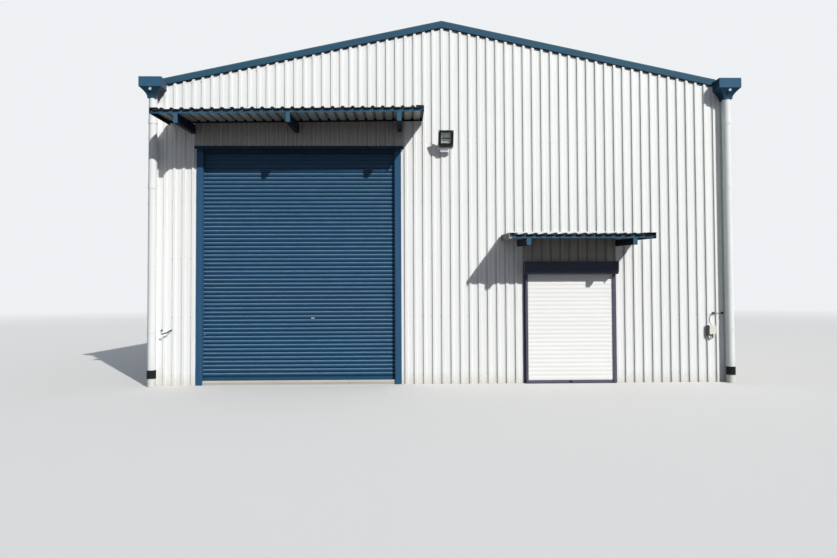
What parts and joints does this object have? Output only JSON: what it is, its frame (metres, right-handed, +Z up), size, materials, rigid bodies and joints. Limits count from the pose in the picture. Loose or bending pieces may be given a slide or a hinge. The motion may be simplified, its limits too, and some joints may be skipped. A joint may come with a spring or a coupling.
{
  "type": "factory building",
  "caption": "Gabled industrial unit of a terrace, clad in white ribbed sheet, with two roller shutters, blue canopies and flashings, and valley rainwater heads.",
  "frame": {"origin": "ground level in the middle of the floor slab's underside", "axes": "+X to the right along the front, +Y into the building from the front, +Z up"},
  "size_m": [11.065, 16.3546, 6.8],
  "materials": {
    "concrete": "float finished",
    "plastered_masonry": "plastered and painted",
    "frame_steel": "grey primer",
    "galvanised_steel": "galvanised",
    "white_sheeting": "factory coated, satin",
    "roof_sheeting": "factory coated, satin",
    "rooflight": "translucent",
    "blue_flashing": "factory coated, satin",
    "blue_steel": "painted",
    "navy_sheeting": "factory coated, satin",
    "blue_shutter": "factory coated, satin",
    "white_shutter": "factory coated, satin",
    "navy_trim": "factory coated, satin",
    "white_pvc": "weathered",
    "dark_metal": "painted black",
    "cream_plastic": "moulded",
    "lamp_glass": "clear",
    "cable_sheath": "smooth"
  },
  "bodies": {
    "root": {"floor_slab": "concrete", "party_wall_left": "plastered_masonry", "party_wall_right": "plastered_masonry", "columns": "frame_steel", "rafters_left": "frame_steel", "rafters_right": "frame_steel", "purlins_left": "galvanised_steel", "purlins_right": "galvanised_steel", "girts_front": "galvanised_steel", "girts_rear": "galvanised_steel", "door_posts": "frame_steel", "door_lintels": "navy_trim", "front_wall_left": "white_sheeting", "front_wall_over_main_door": "white_sheeting", "front_wall_centre": "white_sheeting", "front_wall_over_side_door": "white_sheeting", "front_wall_right": "white_sheeting", "rear_wall": "white_sheeting", "roof_sheets_left": "roof_sheeting", "roof_sheets_right": "roof_sheeting", "rooflights_left": "rooflight", "rooflights_right": "rooflight", "ridge_capping": "roof_sheeting", "barge_flashings_front": "blue_flashing", "barge_flashings_rear": "blue_flashing", "valley_gutters": "galvanised_steel", "rainwater_heads_front": "blue_flashing", "rainwater_heads_rear": "blue_flashing", "downpipes_front": "white_pvc", "downpipes_rear": "white_pvc", "main_canopy_sheet": "navy_sheeting", "main_canopy_flashings": "blue_flashing", "main_canopy_beams": "blue_steel", "side_canopy_sheet": "navy_sheeting", "side_canopy_flashings": "blue_flashing", "side_canopy_beams": "blue_steel", "main_shutter_curtain": "blue_shutter", "main_shutter_guides": "frame_steel", "main_shutter_barrel": "blue_shutter", "main_door_surround": "blue_flashing", "side_shutter_curtain": "white_shutter", "side_shutter_rail": "navy_trim", "side_shutter_guides": "navy_trim", "side_shutter_barrel": "white_shutter", "side_shutter_hood": "navy_trim", "floodlight": "dark_metal", "floodlight_glass": "lamp_glass", "floodlight_bracket": "galvanised_steel", "isolator_box": "cream_plastic", "isolator_cable": "cable_sheath", "wall_hook": "dark_metal"}
  },
  "joints": []
}
